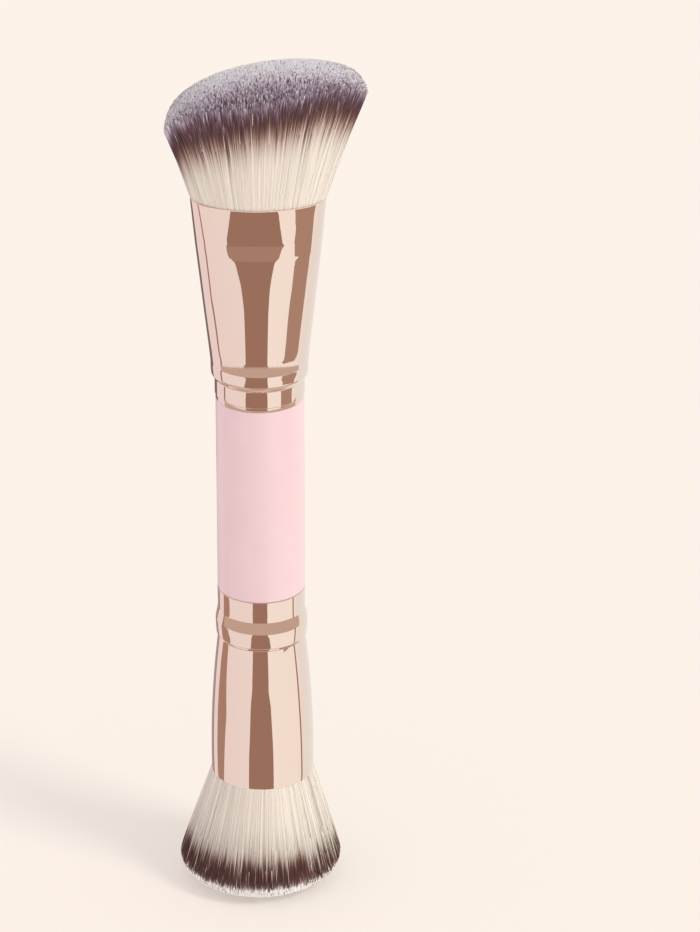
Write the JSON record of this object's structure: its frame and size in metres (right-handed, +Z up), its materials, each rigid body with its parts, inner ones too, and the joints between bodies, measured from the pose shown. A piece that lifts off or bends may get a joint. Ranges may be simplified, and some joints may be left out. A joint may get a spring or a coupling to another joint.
{
  "type": "double ended makeup brush",
  "caption": "Makeup brush with a slanted oval head at one end and a round flat-domed head at the other, each in a drawn metal ferrule on a straight handle.",
  "frame": {"origin": "centre of the flat patch at the bottom of the lower head, which the brush stands on", "axes": "+Z up along the brush's axis, +X towards the high side of the slanted upper head, Y across the thin way of the upper head"},
  "size_m": [0.0398, 0.033, 0.1808],
  "materials": {
    "handle_lacquer": "satin pink lacquer",
    "ferrule_metal": "polished rose gold",
    "resin": "cast amber resin",
    "fibre": "fine cream fibre with a brown band and pale lavender tips"
  },
  "bodies": {
    "root": {"handle": "handle_lacquer", "lower_ferrule": "ferrule_metal", "upper_ferrule": "ferrule_metal", "lower_resin": "resin", "upper_resin": "resin", "lower_fibres": "fibre", "upper_fibres": "fibre"}
  },
  "joints": []
}
